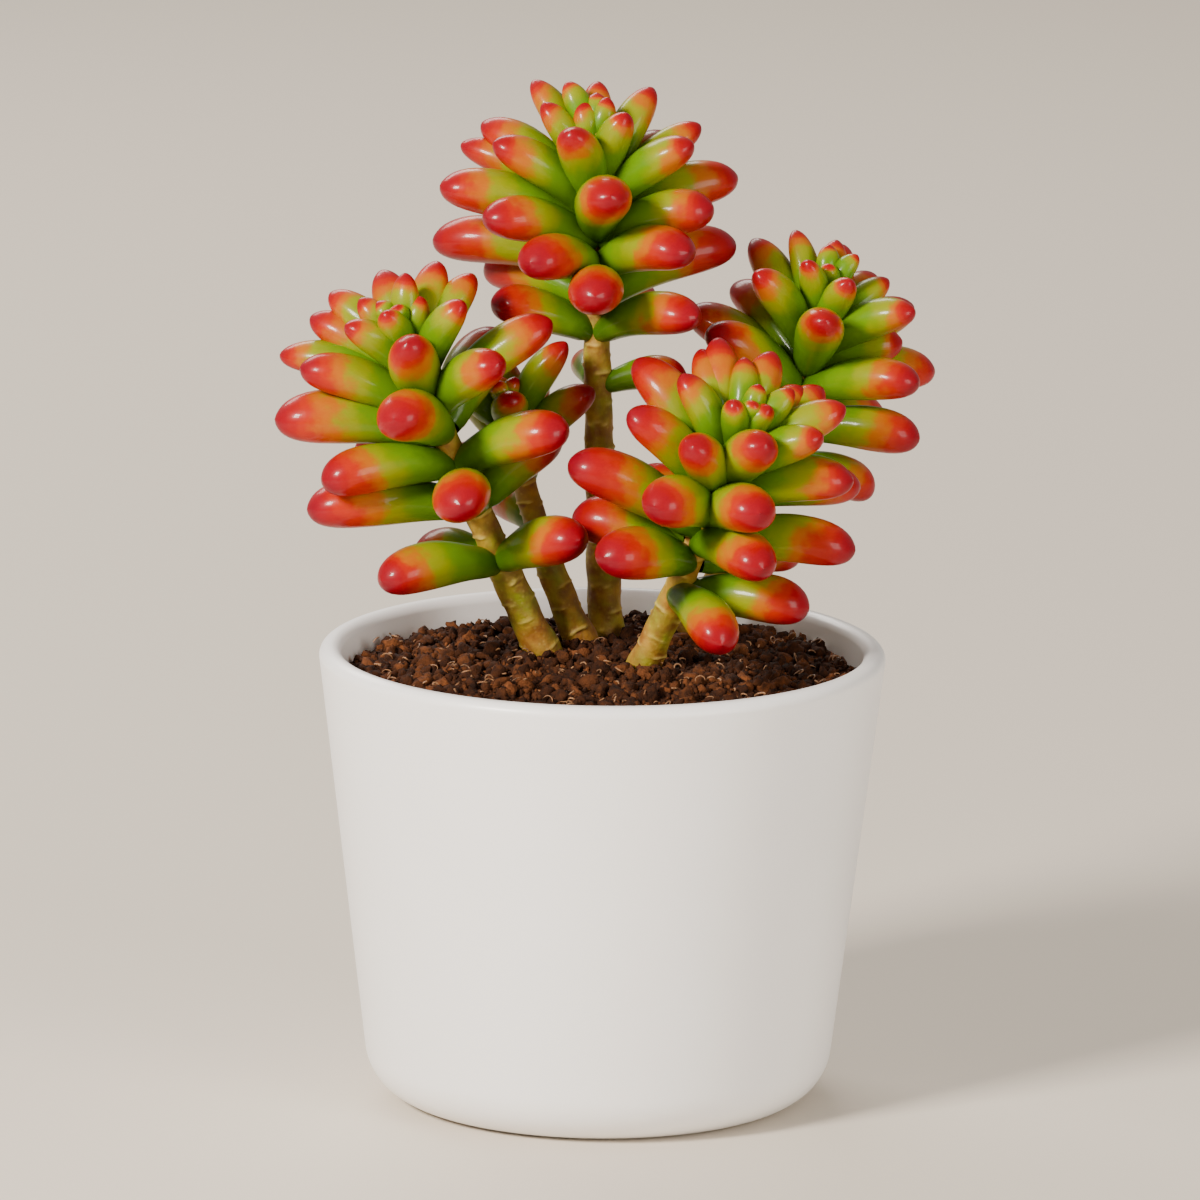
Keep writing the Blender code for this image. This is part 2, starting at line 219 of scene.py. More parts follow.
@cache
def pores_group() -> bpy.types.NodeTree:
    """Make small round spots, once for all finishes.

    Returns:
        The group, with a mask that rises to 1 at the middle of a spot.
    """
    graph = new_group("pores", {"Scale": 1500.0, "Size": 0.25}, ("Mask",))
    entry, leave = graph.add("NodeGroupInput").outputs, graph.add("NodeGroupOutput")
    place = graph.add("ShaderNodeTexCoord").outputs["Object"]
    cells = graph.add("ShaderNodeTexVoronoi", {"Vector": place, "Scale": entry["Scale"]})
    away = cells.outputs["Distance"]
    spot = graph.math("LESS_THAN", away, entry["Size"])
    soft = graph.math("SUBTRACT", 1.0, graph.math("DIVIDE", away, entry["Size"]), clamp=True)
    graph.feed(graph.times(spot, soft), leave, "Mask")
    return graph.tree


# Finishes


@dataclass(frozen=True)
class Clouds:
    """One use of the mottle group: how fine it is, and how many finer layers it has."""

    scale: float
    detail: float = 3.0


@dataclass(frozen=True)
class Spots:
    """One use of the pores group: how close the spots are, their size and how strongly they show."""

    scale: float
    size: float
    share: float


@dataclass(frozen=True)
class Grain:
    """A fine relief: its clouds, the strength of the bump and its depth."""

    clouds: Clouds
    strength: float
    depth: float


@dataclass(frozen=True)
class Finish:
    """Base of every finish: a named material with constant shader values.

    A cloudy surface's roughness starts rough_dip below roughness and spans rough_spread.
    """

    name: str
    roughness: float
    rough_dip: float = 0.0
    rough_spread: float = 0.0
    coat: float = 0.0
    coat_roughness: float = 0.1
    gloss: float = 0.5
    subsurface: float = 0.0
    subsurface_reach: Colour = (1.0, 0.4, 0.15)
    subsurface_depth: float = 2.0 * MM

    def start(self) -> tuple[Material, Graph, Node]:
        """Make the material and its shader.

        Returns:
            The material, a graph on its tree, and the Principled shader.
        """
        material = bpy.data.materials.new(self.name)
        material.use_nodes = True
        graph = Graph(material.node_tree)
        shader = material.node_tree.nodes["Principled BSDF"]
        values = {
            "Roughness": self.roughness,
            "Specular IOR Level": self.gloss,
            "Coat Weight": self.coat,
            "Coat Roughness": self.coat_roughness,
            "Subsurface Weight": self.subsurface,
            "Subsurface Radius": self.subsurface_reach,
            "Subsurface Scale": self.subsurface_depth,
        }
        for label, value in values.items():
            graph.feed(value, shader, label)
        return material, graph, shader

    def mottle(self, graph: Graph, clouds: Clouds) -> bpy.types.NodeOutputs:
        """Place the shared mottle group and return its outputs."""
        inputs = {"Scale": clouds.scale, "Detail": clouds.detail}
        return graph.add("ShaderNodeGroup", inputs, node_tree=mottle_group()).outputs

    def spot(self, graph: Graph, colour: Socket, spots: Spots, tint: Colour) -> Socket:
        """Tint a colour where the shared pores group has its spots.

        Args:
            graph: The material's graph.
            colour: The colour so far.
            spots: The spots.
            tint: Their linear colour.

        Returns:
            The spotted colour.
        """
        inputs = {"Scale": spots.scale, "Size": spots.size}
        pores = graph.add("ShaderNodeGroup", inputs, node_tree=pores_group())
        return graph.mix(graph.times(pores.outputs["Mask"], spots.share), colour, tint)

    def vary_roughness(self, graph: Graph, shader: Node, mask: Socket) -> None:
        """Let the roughness follow a mask, about the finish's own value."""
        rough = graph.plus(self.roughness - self.rough_dip, graph.times(mask, self.rough_spread))
        graph.feed(rough, shader, "Roughness")

    def relief(self, graph: Graph, shader: Node, grain: Grain) -> None:
        """Feed a fine grain to the shader's normal.

        Args:
            graph: The material's graph.
            shader: The Principled shader.
            grain: The grain.
        """
        height = self.mottle(graph, grain.clouds)["Height"]
        inputs = {"Height": height, "Strength": grain.strength, "Distance": grain.depth}
        graph.feed(graph.add("ShaderNodeBump", inputs).outputs["Normal"], shader, "Normal")


@dataclass(frozen=True)
class WaxyLeaf(Finish):
    """The leaves: lime green at the root, amber in between, red and then crimson at the tip.

    red_place is the ramp's place where leaf_along equals leaf_red, and stretch how fast the
    ramp runs along the leaf. The other shares say how far a feature moves the place.
    """

    name: str = "waxy_leaf"
    roughness: float = 0.36
    rough_dip: float = 0.05
    rough_spread: float = 0.12
    coat: float = 0.22
    coat_roughness: float = 0.12
    gloss: float = 0.12
    subsurface: float = 0.06
    subsurface_depth: float = 1.2 * MM
    stops: Stops = (
        (0.00, (0.052, 0.125, 0.001)),
        (0.22, (0.108, 0.220, 0.001)),
        (0.38, (0.230, 0.250, 0.001)),
        (0.47, (0.430, 0.110, 0.001)),
        (0.57, (0.400, 0.014, 0.001)),
        (0.68, (0.320, 0.001, 0.003)),
        (0.82, (0.270, 0.0005, 0.008)),
        (1.00, (0.200, 0.0004, 0.010)),
    )
    red_place: float = 0.53
    stretch: float = 0.75
    upper_side: float = 0.06
    tip_spot: float = 0.24
    drift: float = 0.26
    clouds: Clouds = Clouds(260.0)
    lime: Colour = (0.30, 0.46, 0.001)
    lime_share: float = 0.30
    bloom: Colour = (0.40, 0.10, 0.03)
    flecks: Spots = Spots(2600.0, 0.22, 0.06)
    grain: Grain = Grain(Clouds(1700.0, 2.0), 0.22, 0.12 * MM)

    def build(self) -> Material:
        """Make the material.

        Returns:
            The leaf material.
        """
        material, graph, shader = self.start()
        cloud = self.mottle(graph, self.clouds)
        drift = graph.times(graph.math("SUBTRACT", cloud["Height"], 0.5), self.drift)
        drift = graph.plus(drift, graph.times(graph.fact("leaf_tip"), self.tip_spot))
        past = graph.math("SUBTRACT", graph.fact("leaf_along"), graph.fact("leaf_red"))
        place = graph.plus(graph.times(past, self.stretch), drift)
        place = graph.plus(place, graph.times(graph.fact("leaf_side"), self.upper_side))
        colour = graph.ramp(graph.plus(place, self.red_place, clamp=True), self.stops)
        lime = graph.times(graph.fact("leaf_tone"), self.lime_share)
        colour = graph.mix(lime, colour, self.lime, "SOFT_LIGHT")
        colour = self.spot(graph, colour, self.flecks, self.bloom)
        graph.feed(colour, shader, "Base Color")
        self.vary_roughness(graph, shader, cloud["Mask"])
        self.relief(graph, shader, self.grain)
        return material


@dataclass(frozen=True)
class BarkedStem(Finish):
    """The stems: olive and tan skin with pale rims and brown hearts where leaves have dropped."""

    name: str = "barked_stem"
    roughness: float = 0.6
    coat: float = 0.05
    olive: Colour = (0.250, 0.310, 0.008)
    tan: Colour = (0.560, 0.270, 0.020)
    brown: Colour = (0.170, 0.042, 0.005)
    pale: Colour = (0.740, 0.560, 0.130)
    patches: Clouds = Clouds(170.0, 4.0)
    smears: Clouds = Clouds(380.0, 6.0)
    smear_share: float = 0.80
    low_share: float = 0.25
    dots: Spots = Spots(900.0, 0.30, 0.2)
    grain: Grain = Grain(Clouds(1400.0, 4.0), 0.5, 0.25 * MM)

    def build(self) -> Material:
        """Make the material.

        Returns:
            The stem material.
        """
        material, graph, shader = self.start()
        skin = graph.mix(self.mottle(graph, self.patches)["Mask"], self.olive, self.tan)
        smears = graph.times(self.mottle(graph, self.smears)["Mask"], self.smear_share)
        skin = graph.mix(smears, skin, self.brown)
        skin = graph.mix(graph.times(graph.fact("stem_low"), self.low_share), skin, self.brown)
        skin = graph.mix(graph.fact("scar_rim"), skin, self.pale)
        skin = graph.mix(graph.fact("scar_heart"), skin, self.brown)
        skin = self.spot(graph, skin, self.dots, self.pale)
        graph.feed(skin, shader, "Base Color")
        self.relief(graph, shader, self.grain)
        return material


@dataclass(frozen=True)
class SatinPot(Finish):
    """The pot: plain satin white with the faintest unevenness."""

    name: str = "satin_white"
    roughness: float = 0.34
    rough_spread: float = 0.08
    coat: float = 0.15
    coat_roughness: float = 0.2
    white: Colour = (0.94, 0.93, 0.915)
    warm: Colour = (0.90, 0.88, 0.855)
    clouds: Clouds = Clouds(60.0, 4.0)
    warm_share: float = 0.35
    specks: Spots = Spots(1300.0, 0.12, 0.12)
    grain: Grain = Grain(Clouds(420.0, 2.0), 0.12, 0.2 * MM)

    def build(self) -> Material:
        """Make the material.

        Returns:
            The pot material.
        """
        material, graph, shader = self.start()
        cloud = self.mottle(graph, self.clouds)
        colour = graph.mix(graph.times(cloud["Mask"], self.warm_share), self.white, self.warm)
        colour = self.spot(graph, colour, self.specks, self.warm)
        graph.feed(colour, shader, "Base Color")
        self.vary_roughness(graph, shader, cloud["Mask"])
        self.relief(graph, shader, self.grain)
        return material


@dataclass(frozen=True)
class CrumbSoil(Finish):
    """The soil: dark brown crumbs, some dusty and rusty."""

    name: str = "crumb_soil"
    roughness: float = 0.9
    gloss: float = 0.2
    dark: Colour = (0.012, 0.004, 0.0015)
    brown: Colour = (0.050, 0.014, 0.003)
    rusty: Colour = (0.185, 0.058, 0.016)
    clouds: Clouds = Clouds(900.0, 5.0)
    least_dust: float = 0.25
    grain: Grain = Grain(Clouds(3000.0, 5.0), 0.9, 0.35 * MM)

    def build(self) -> Material:
        """Make the material.

        Returns:
            The soil material.
        """
        material, graph, shader = self.start()
        cloud = self.mottle(graph, self.clouds)["Mask"]
        colour = graph.mix(cloud, self.dark, self.brown)
        dusty = graph.plus(self.least_dust, cloud)
        dust = graph.math("MULTIPLY", graph.fact("crumb_tone"), dusty, clamp=True)
        graph.feed(graph.mix(dust, colour, self.rusty), shader, "Base Color")
        self.relief(graph, shader, self.grain)
        return material


@dataclass(frozen=True)
class SoilFibre(CrumbSoil):
    """The fibres in the soil: lighter and shinier than the crumbs."""

    name: str = "soil_fibre"
    roughness: float = 0.45
    gloss: float = 0.5
    brown: Colour = (0.10, 0.04, 0.015)
    rusty: Colour = (0.36, 0.17, 0.07)


@dataclass(frozen=True)
class PaleFloor(Finish):
    """The floor: plain and pale."""

    name: str = "floor_pale"
    roughness: float = 0.8
    colour: Colour = (0.68, 0.61, 0.52)

    def build(self) -> Material:
        """Make the material.

        Returns:
            The floor material.
        """
        material, graph, shader = self.start()
        graph.feed((*self.colour, 1.0), shader, "Base Color")
        return material


# The plan of the plant


@dataclass(frozen=True)
class Tier:
    """Leaves that leave the stem at about the same level.

    down is the distance below the crown along the stem and girth the leaf width, both in mm.
    Each leaf is (bearing, rise, length): degrees about the stem from +X, degrees above the
    plane across the stem, and mm.
    """

    down: float
    girth: float
    leaves: tuple[Leaf, ...]


@dataclass(frozen=True)
class ShootPlan:
    """One leafy shoot: its stem from the soil to the crown, and its tiers of leaves.

    soil and crown are in mm, and lean is the crown's tilt in degrees toward -Y and toward +X.
    blush is how much further down its leaves the red reaches than on the other shoots.
    """

    name: str
    soil: Place
    crown: Place
    lean: Pair
    foot_radius: float
    neck_radius: float
    tiers: tuple[Tier, ...]
    blush: float = 0.0


LEFT_SHOOT = ShootPlan(
    name="shoot_left",
    soil=(-9.8, 8.0, 71.0),
    crown=(-32.8, -5.0, 126.3),
    lean=(14.0, -20.0),
    foot_radius=2.9,
    neck_radius=1.7,
    tiers=(
        Tier(2.0, 3.6, ((150, 74, 6), (-60, 78, 5.5))),
        Tier(7.5, 4.7, ((155, 71, 13), (-99, 74, 12), (17, 69, 10.5), (50, 73, 14))),
        Tier(10.5, 5.7, ((42, 32, 18), (136, 49, 19.5), (-152, 64, 16), (-24, 47, 17))),
        Tier(12.5, 6.0, ((97, 55, 20), (60, 48, 20), (150, 44, 21), (165, 29, 23))),
        Tier(16.0, 7.2, ((-79, 58, 20), (5, 18, 22.5), (-42, 27, 21), (-174, 43, 21.5))),
        Tier(20.0, 8.5, ((-174, 28, 25.5), (-99, 35, 22), (55, 15, 20), (112, 20, 21))),
        Tier(26.0, 7.8, ((-29, 10, 22), (-149, 24, 22.5), (142, 5, 19))),
        Tier(33.5, 8.4, ((-166, 25, 25.5), (-85, 25, 22.5), (2, 24, 17))),
        Tier(44.3, 7.8, ((-136, 26, 22.5), (-46, 14, 22.5), (150, 8, 14))),
    ),
)

CENTRE_SHOOT = ShootPlan(
    name="shoot_centre",
    soil=(0.5, 22.0, 70.4),
    crown=(-2.3, 14.0, 153.9),
    lean=(4.0, -1.0),
    foot_radius=2.9,
    neck_radius=1.7,
    tiers=(
        Tier(2.5, 4.2, ((80, 76, 8), (140, 64, 10.5))),
        Tier(6.5, 4.7, ((29, 82, 11.5), (150, 83, 11))),
        Tier(9.0, 5.0, ((86, 62, 16.5), (139, 52, 19), (176, 62, 15))),
        Tier(11.0, 5.5, ((-43, 68, 16), (44, 52, 19.5))),
        Tier(13.0, 6.5, ((157, 34, 22), (-22, 38, 20), (-109, 57, 18.5), (-161, 39, 20))),
        Tier(14.0, 5.5, ((65, 44, 20), (113, 49, 20), (24, 36, 21.5), (161, 25, 23.5))),
        Tier(16.5, 8.0, ((44, 38, 20), (-172, 20, 25), (-82, 31, 21), (16, 17, 23.5))),
        Tier(18.0, 7.6, ((-143, 20, 21.5), (85, 24, 21), (128, 20, 21), (-20, 20, 20))),
        Tier(22.5, 7.8, ((167, 7, 25.5), (-48, 18, 22), (-117, 17, 22), (55, 10, 21))),
        Tier(27.5, 8.0, ((17, 17, 23), (-90, 17, 22.5), (105, 8, 21), (145, 5, 20))),
        Tier(33.0, 7.0, ((-165, 22, 17), (-44, 17, 22), (70, 0, 20))),
        Tier(42.0, 5.6, ((-8, 8, 13), (95, -5, 15))),
    ),
)

RIGHT_SHOOT = ShootPlan(
    name="shoot_right",
    soil=(14.0, 23.0, 70.8),
    crown=(35.3, 19.0, 128.3),
    lean=(5.0, 11.0),
    foot_radius=2.7,
    neck_radius=1.6,
    tiers=(
        Tier(2.0, 3.6, ((-110, 76, 6), (110, 72, 8), (20, 68, 8))),
        Tier(7.5, 4.5, ((90, 63, 14.5), (131, 53, 16), (-128, 60, 14))),
        Tier(9.5, 4.8, ((32, 48, 15), (-74, 61, 15))),
        Tier(11.5, 6.2, ((145, 41, 20), (84, 52, 19), (-146, 42, 19), (-31, 42, 19.5))),
        Tier(14.0, 6.8, ((-93, 40, 19.5), (62, 44, 20), (34, 36, 20), (132, 17, 20), (-6, 35, 15))),
        Tier(17.5, 7.2, ((19, 19, 21.5), (-37, 26, 21.5), (160, 14, 21), (-152, 20, 20), (85, 18, 20))),
        Tier(24.0, 7.2, ((-16, 17, 20.5), (45, 5, 20), (120, 6, 20), (175, 0, 17))),
        Tier(31.0, 6.8, ((-30, 8, 13), (80, 0, 18), (20, 0, 17), (145, 0, 16))),
    ),
)

FRONT_SHOOT = ShootPlan(
    name="shoot_front",
    soil=(6.8, -0.5, 70.8),
    crown=(22.7, -17.0, 114.9),
    lean=(20.0, 17.0),
    foot_radius=2.6,
    neck_radius=1.6,
    tiers=(
        Tier(2.5, 3.4, ((80, 72, 6.5), (-100, 78, 5.5))),
        Tier(7.0, 4.5, ((-139, 68, 10.5), (-36, 78, 10), (101, 48, 14), (30, 62, 12.5))),
        Tier(11.0, 5.8, ((121, 37, 19), (163, 47, 16.5), (79, 50, 19.5), (50, 46, 17))),
        Tier(12.5, 6.3, ((112, 44, 21.5), (10, 51, 21.5), (-24, 53, 18.5), (44, 42, 20.5))),
        Tier(14.5, 7.3, ((140, 24, 23.5), (-80, 58, 19))),
        Tier(16.5, 7.1, ((-173, 34, 21), (-127, 47, 20), (16, 14, 22.5), (92, 28, 20), (-12, 34, 21.5))),
        Tier(19.5, 8.2, ((-78, 37, 21), (-125, 23, 22), (60, 10, 19))),
        Tier(23.0, 8.2, ((-179, 13, 23.5),)),
        Tier(25.0, 7.8, ((-13, 23, 24), (-70, 27, 22), (125, 0, 16))),
        Tier(29.0, 8.4, ((-136, 14, 22), (158, -8, 19), (30, 5, 19))),
        Tier(35.3, 7.6, ((-77, 17, 22.5), (-19, 23, 20.5))),
    ),
)

BACK_SHOOT = ShootPlan(
    name="shoot_back",
    soil=(-3.6, 14.5, 71.0),
    crown=(-15.5, 11.0, 109.9),
    lean=(2.0, -10.0),
    foot_radius=2.7,
    neck_radius=1.5,
    tiers=(
        Tier(0.5, 3.4, ((-20, 74, 5), (120, 72, 5), (-130, 74, 5))),
        Tier(4.0, 5.4, ((0, 50, 16), (90, 50, 12), (150, 46, 11), (-80, 55, 8))),
        Tier(8.0, 6.2, ((-5, 31, 15.5), (118, 34, 16), (68, 34, 15))),
        Tier(13.0, 6.6, ((92, 16, 17), (130, 10, 17))),
        Tier(20.0, 6.2, ((110, 4, 16),)),
    ),
    blush=0.20,
)

SHOOTS = (LEFT_SHOOT, CENTRE_SHOOT, RIGHT_SHOOT, FRONT_SHOOT, BACK_SHOOT)


# Mesh helpers


@dataclass
class Skin:
    """Points, faces and stored numbers of a mesh in the making."""

    points: list[np.ndarray] = field(default_factory=list)
    faces: list[np.ndarray] = field(default_factory=list)
    facts: dict[str, list[np.ndarray]] = field(default_factory=dict)
    count: int = 0

    def add(self, points: np.ndarray, faces: np.ndarray, **facts: np.ndarray | float) -> None:
        """Add a shell.

        Args:
            points: Places, one row each.
            faces: Quads or triangles as rows of point numbers.
            facts: Numbers stored at each point, or one number for all.
        """
        self.points.append(points)
        self.faces.append(faces + self.count)
        for name, value in facts.items():
            self.facts.setdefault(name, []).append(np.broadcast_to(np.asarray(value, float), len(points)))
        self.count += len(points)

    def build(self, name: str, material: Material, node: str, slot: Slot) -> None:
        """Make the piece, seat it on the frame and shade it smooth.

        Args:
            name: The piece's name.
            material: Its finish.
            node: CAD node that it stands for.
            slot: The record's material slot; not used.
        """
        mesh = bpy.data.meshes.new(name)
        rows = [tuple(int(i) for i in row) for block in self.faces for row in block]
        mesh.from_pydata(np.concatenate(self.points).tolist(), [], rows)
        for fact, blocks in self.facts.items():
            layer = mesh.attributes.new(fact, "FLOAT", "POINT")
            layer.data.foreach_set("value", np.concatenate(blocks).astype(np.float32))
        mesh.validate()
        mesh.polygons.foreach_set("use_smooth", [True] * len(mesh.polygons))
        mesh.materials.append(material)
        piece = bpy.data.objects.new(name, mesh)
        bpy.context.scene.collection.objects.link(piece)
        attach(piece, "root")
        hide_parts(node)
        LOG.info("%s: %d faces", name, len(mesh.polygons))


def sleeve_faces(rings: int, sides: int) -> np.ndarray:
    """Join rings of points, in order, with quads.

    Args:
        rings: Number of rings.
        sides: Points in each ring.

    Returns:
        Rows of four point numbers.
    """
    k, i = np.meshgrid(np.arange(rings - 1), np.arange(sides), indexing="ij")
    low, j = k * sides, (i + 1) % sides
    return np.stack([low + i, low + j, low + sides + j, low + sides + i], -1).reshape(-1, 4)


def around(sides: int) -> np.ndarray:
    """Return evenly spaced angles round a full turn."""
    return np.linspace(0, FULL_TURN, sides, endpoint=False)


def smooth_step(x: np.ndarray | float) -> np.ndarray:
    """Return x eased from 0 to 1."""
    x = np.clip(x, 0.0, 1.0)
    return x * x * (3.0 - 2.0 * x)


def hill(x: np.ndarray | float) -> np.ndarray:
    """Return a smooth hill over x, 1 at its top at x = 0."""
    return np.exp(-(x**2))


@dataclass
class Shoot:
    """A shoot's plan, the curve of its stem from the soil to the crown, and its own draws."""

    plan: ShootPlan
    steps: int = 80
    knee_share: float = 0.5
    neck_ease: float = 0.8

    def __post_init__(self) -> None:
        """Work out the curve's three control points, its steps and its length."""
        self.draw = random.Random(self.plan.name)
        forward, side = (math.radians(a) for a in self.plan.lean)
        self.foot = Vector(self.plan.soil) * MM
        self.crown = Vector(self.plan.crown) * MM
        upright = math.cos(side)
        axis = Vector((math.sin(side), -math.sin(forward) * upright, math.cos(forward) * upright))
        self.knee = self.crown - axis * (self.crown - self.foot).length * self.knee_share
        self.points = [self.point(i / self.steps) for i in range(self.steps + 1)]
        self.length = sum((b - a).length for a, b in zip(self.points, self.points[1:]))

    def radius(self, t: float) -> float:
        """Return the stem's plain radius at t, 0 at the soil and 1 at the crown."""
        foot, neck = self.plan.foot_radius, self.plan.neck_radius
        return (foot + (neck - foot) * t**self.neck_ease) * MM

    def point(self, t: float) -> Vector:
        """Return the stem's middle at t."""
        return self.foot * (1 - t) ** 2 + self.knee * 2 * t * (1 - t) + self.crown * t * t

    def axes(self, t: float) -> tuple[Vector, Vector, Vector]:
        """Work out the stem's own directions.

        Args:
            t: Where on the stem.

        Returns:
            The direction of growth and two across it, the first toward +X.
        """
        growth = ((self.knee - self.foot) * (1 - t) + (self.crown - self.knee) * t).normalized()
        across = (Vector((1, 0, 0)) - growth * growth.x).normalized()
        return growth, across, growth.cross(across)

    def parameter(self, down: float) -> float:
        """Find a place along the stem.

        Args:
            down: Its distance below the crown.

        Returns:
            Its t.
        """
        left = down
        for i in range(self.steps, 0, -1):
            span = (self.points[i] - self.points[i - 1]).length
            if left <= span:
                return (i - left / span) / self.steps
            left -= span
        return 0.0


# Sub-assemblies


@dataclass
class BeanLeaves:
    """All the leaves of one shoot, each a bean.

    Places along a leaf run from 0 at its root to 1 at its tip, and widths are shares of its full
    width. The young values are added toward the crown. grown_from and grown_over are in mm.
    """

    shoot: Shoot
    finish: Material
    sides: int = 26
    root_rings: int = 15
    cap_rings: int = 11
    swell: float = 1.11
    widest: float = 0.64
    young_widest: float = -0.10
    cap_reach: float = 0.78
    young_reach: float = 0.10
    cap_narrow: float = 0.86
    young_narrow: float = 0.14
    tip_width: float = 0.012
    root_width: float = 0.64
    root_ease: float = 0.8
    pinch: float = 0.20
    pinch_reach: float = 0.09
    flat_top: float = 0.84
    round_belly: float = 0.92
    bend: float = 0.06
    bend_spread: Pair = (0.7, 1.3)
    sway: float = 0.02
    lopsided: float = 0.018
    waver: float = 0.012
    waver_rate: float = 9.0
    nipple: float = 0.22 * MM
    nipple_width: float = 0.24
    nipple_from: float = 0.8
    nipple_half: float = 4.0 * MM
    tip_reach: float = 0.07
    sunk: float = 0.9 * MM
    grown_from: float = 2.0
    grown_over: float = 22.0
    red_from: float = 1.07
    red_by_age: float = 0.36
    red_by_sun: float = 0.11
    red_spread: float = 0.04
    tone_by_age: float = 0.5
    sunward: Place = (-0.25, 0.92, 0.30)

    def section(self, youth: float) -> tuple[np.ndarray, np.ndarray]:
        """Shape the outline of a leaf.

        Args:
            youth: 0 for a leaf low on the stem, 1 for one in the crown.

        Returns:
            Places along the leaf and its width there.
        """
        widest = self.widest + self.young_widest * youth
        s = np.linspace(0.0, 1.0, self.root_rings, endpoint=False)
        pinch = 1.0 - self.pinch * hill(s / self.pinch_reach)
        width = (self.root_width + (1.0 - self.root_width) * smooth_step(s) ** self.root_ease) * pinch
        turn = np.linspace(0.0, math.pi / 2, self.cap_rings)
        cap_along = widest + (1.0 - widest) * np.sin(turn) ** (self.cap_reach + self.young_reach * youth)
        cap_width = np.cos(turn) ** (self.cap_narrow + self.young_narrow * youth)
        cap_width[-1] = self.tip_width
        return np.concatenate([s * widest, cap_along]), np.concatenate([width, cap_width])

    def add_leaf(self, skin: Skin, tier: Tier, leaf: Leaf) -> None:
        """Add one leaf.

        Args:
            skin: The mesh in the making.
            tier: The leaf's tier.
            leaf: Its bearing, rise and length.
        """
        draw = self.shoot.draw
        bearing, rise, length = math.radians(leaf[0]), math.radians(leaf[1]), leaf[2] * MM
        t = self.shoot.parameter(tier.down * MM)
        growth, across, other = self.shoot.axes(t)
        outward = across * math.cos(bearing) + other * math.sin(bearing)
        reach = outward * math.cos(rise) + growth * math.sin(rise)
        side = growth.cross(outward).normalized()
        seat = self.shoot.point(t) + outward * (self.shoot.radius(t) - self.sunk)
        ahead, aside, above = (np.array(v) for v in (reach, side, side.cross(reach)))

        age = float(smooth_step((tier.down - self.grown_from) / self.grown_over))
        along, width = self.section(1.0 - age)
        arch = np.sin(math.pi * along)
        spine = np.array(seat) + np.outer(along * length, ahead)
        spine -= np.outer(arch * self.bend * draw.uniform(*self.bend_spread) * length, above)
        spine += np.outer(arch * draw.uniform(-self.sway, self.sway) * length, aside)

        angle = around(self.sides)
        lift = np.where(np.sin(angle) > 0, self.flat_top, self.round_belly) * np.sin(angle)
        uneven = 1.0 + self.lopsided * np.sin(2 * angle + draw.uniform(0, DRAWN_TURN))
        wave = 1.0 + self.waver * np.sin(along * self.waver_rate + draw.uniform(0, DRAWN_TURN))
        offset = np.outer(np.cos(angle) * uneven, aside) + np.outer(lift * uneven, above)
        half = tier.girth * MM / 2 * self.swell
        points = spine[:, None, :] + offset[None, :, :] * (half * width * wave)[:, None, None]
        nipple = self.nipple * hill(width / self.nipple_width) * (along > self.nipple_from)
        points += (nipple[:, None] * ahead[None, :])[:, None, :] * (half / self.nipple_half)

        red_from = self.red_from - self.red_by_age * age - self.red_by_sun * outward.dot(Vector(self.sunward))
        skin.add(
            points.reshape(-1, 3),
            sleeve_faces(len(along), self.sides),
            leaf_along=np.repeat(along, self.sides),
            leaf_side=np.tile(np.sin(angle), len(along)),
            leaf_tip=np.repeat(hill((1.0 - along) / self.tip_reach), self.sides),
            leaf_red=red_from - self.shoot.plan.blush + draw.uniform(-self.red_spread, self.red_spread),
            leaf_tone=draw.uniform(0.0, 1.0) * (1.0 - self.tone_by_age * age),
        )

    def build(self) -> None:
        """Make the piece of all the leaves."""
        skin = Skin()
        for tier in self.shoot.plan.tiers:
            for leaf in tier.leaves:
                self.add_leaf(skin, tier, leaf)
        name = self.shoot.plan.name
        skin.build(name + "_leaves", self.finish, name, Slot.LEAFY)


